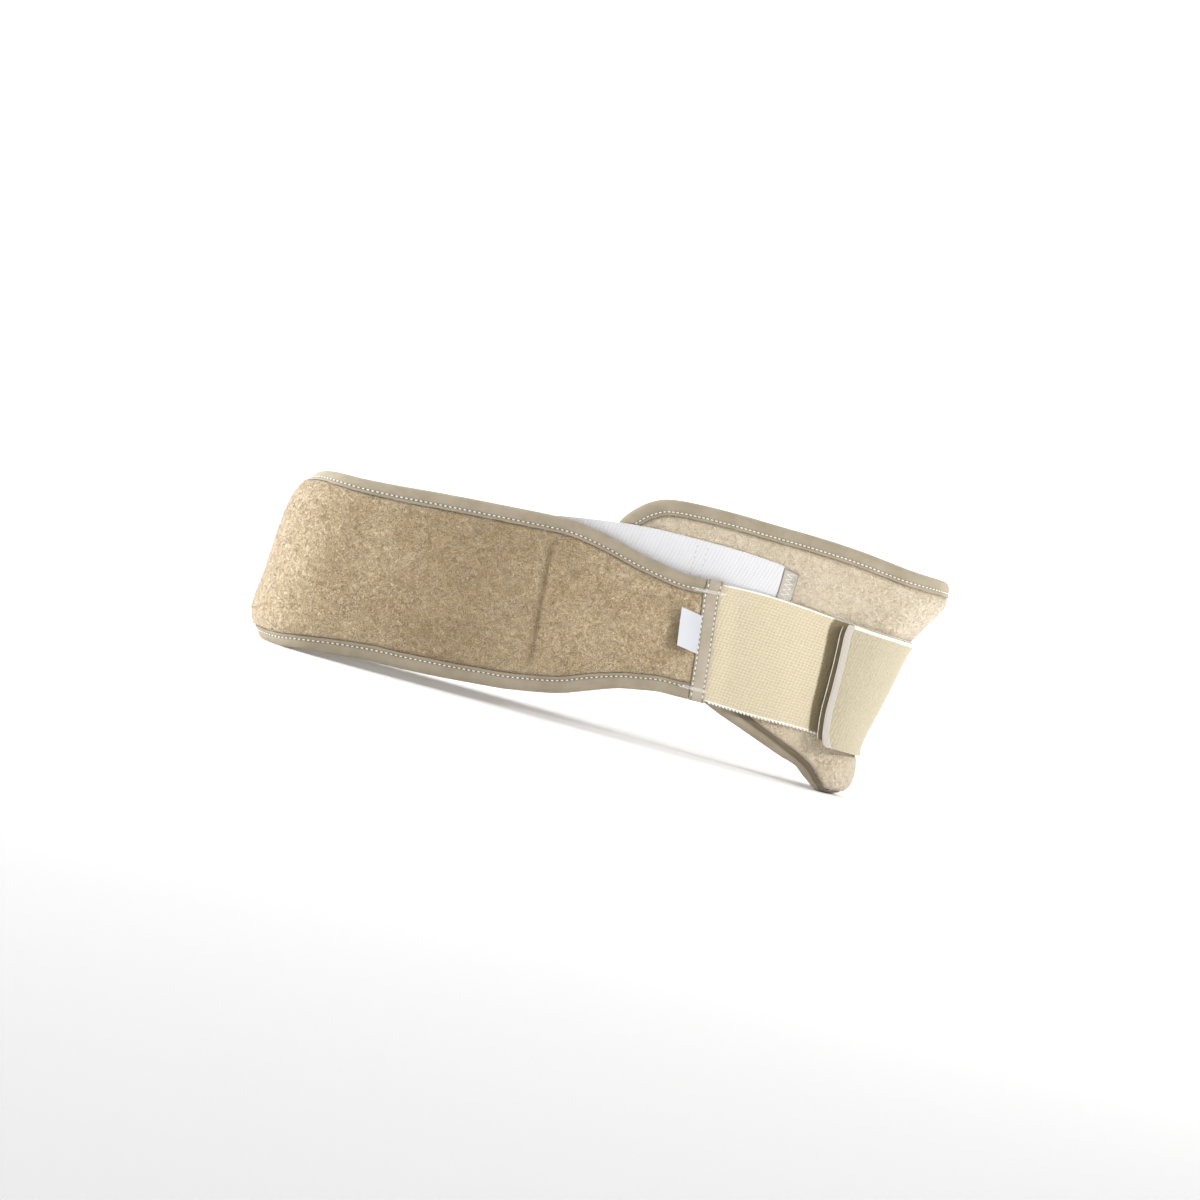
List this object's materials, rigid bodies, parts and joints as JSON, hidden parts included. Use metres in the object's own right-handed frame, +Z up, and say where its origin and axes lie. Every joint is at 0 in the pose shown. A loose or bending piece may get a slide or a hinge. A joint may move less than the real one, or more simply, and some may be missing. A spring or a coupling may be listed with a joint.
{
  "type": "maternity belt",
  "caption": "Maternity support belt closed in a loop: padded fleece back band and belly panel with folded bindings, cream elastic straps lapped over the front, white elastics at the sides.",
  "frame": {"origin": "centre of the belt's footprint on the floor, with the belt closed and standing on its lower edges", "axes": "+X towards the wearer's front, +Y towards the wearer's left, +Z up"},
  "size_m": [0.5161, 0.1192, 0.1876],
  "materials": {
    "fleece": "brushed beige fleece laminated on foam",
    "binding_tape": "matt taupe tape folded over the edge",
    "cream_elastic": "cream ribbed elastic with a plush face and white selvages",
    "white_elastic": "white ribbed elastic",
    "hook_tape": "pale grey woven tape",
    "label": "bare white satin label"
  },
  "bodies": {
    "root": {"back_band": "fleece", "back_band_top_binding": "binding_tape", "back_band_bottom_binding": "binding_tape", "joint_tape_right": "binding_tape", "joint_tape_left": "binding_tape", "belly_panel": "fleece", "belly_panel_binding": "binding_tape", "strap_right": "cream_elastic", "strap_left": "cream_elastic", "strap_left_end_tape": "hook_tape", "strap_left_hook_tape": "hook_tape", "narrow_elastic_right": "white_elastic", "narrow_elastic_left": "white_elastic", "elastic_tab_right": "binding_tape", "elastic_tab_left": "binding_tape", "size_label": "label"}
  },
  "joints": []
}
